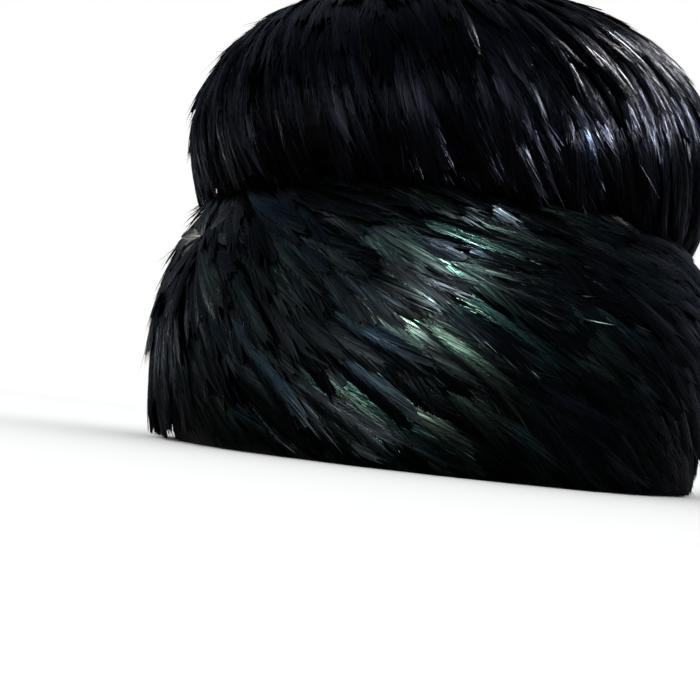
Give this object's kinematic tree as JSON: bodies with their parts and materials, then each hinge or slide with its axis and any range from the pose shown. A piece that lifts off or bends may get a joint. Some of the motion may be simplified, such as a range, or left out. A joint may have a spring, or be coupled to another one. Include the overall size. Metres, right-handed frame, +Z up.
{
  "type": "feather cocktail hat",
  "caption": "Two-tier brimless hat of black cockerel feathers: a rounded crown over a bell-shaped band, each a hollow felt form covered in lapped courses of feathers.",
  "frame": {"origin": "on the surface that the rim rests on, under the middle of the hat", "axes": "+Z up through the crown, -Y towards the front of the head, +X towards the wearer's left"},
  "size_m": [0.181, 0.2143, 0.1483],
  "materials": {
    "felt": "black felt, matt",
    "crown_feather": "black cockerel hackle, glossy, blue-black",
    "band_feather": "black cockerel tail feather, glossy, green and blue sheen"
  },
  "bodies": {
    "root": {"band_form": "felt", "crown_form": "felt", "crown_feathers_1": "crown_feather", "crown_feathers_2": "crown_feather", "crown_feathers_3": "crown_feather", "crown_feathers_4": "crown_feather", "band_feathers_1": "band_feather", "band_feathers_2": "band_feather", "band_feathers_3": "band_feather"}
  },
  "joints": []
}
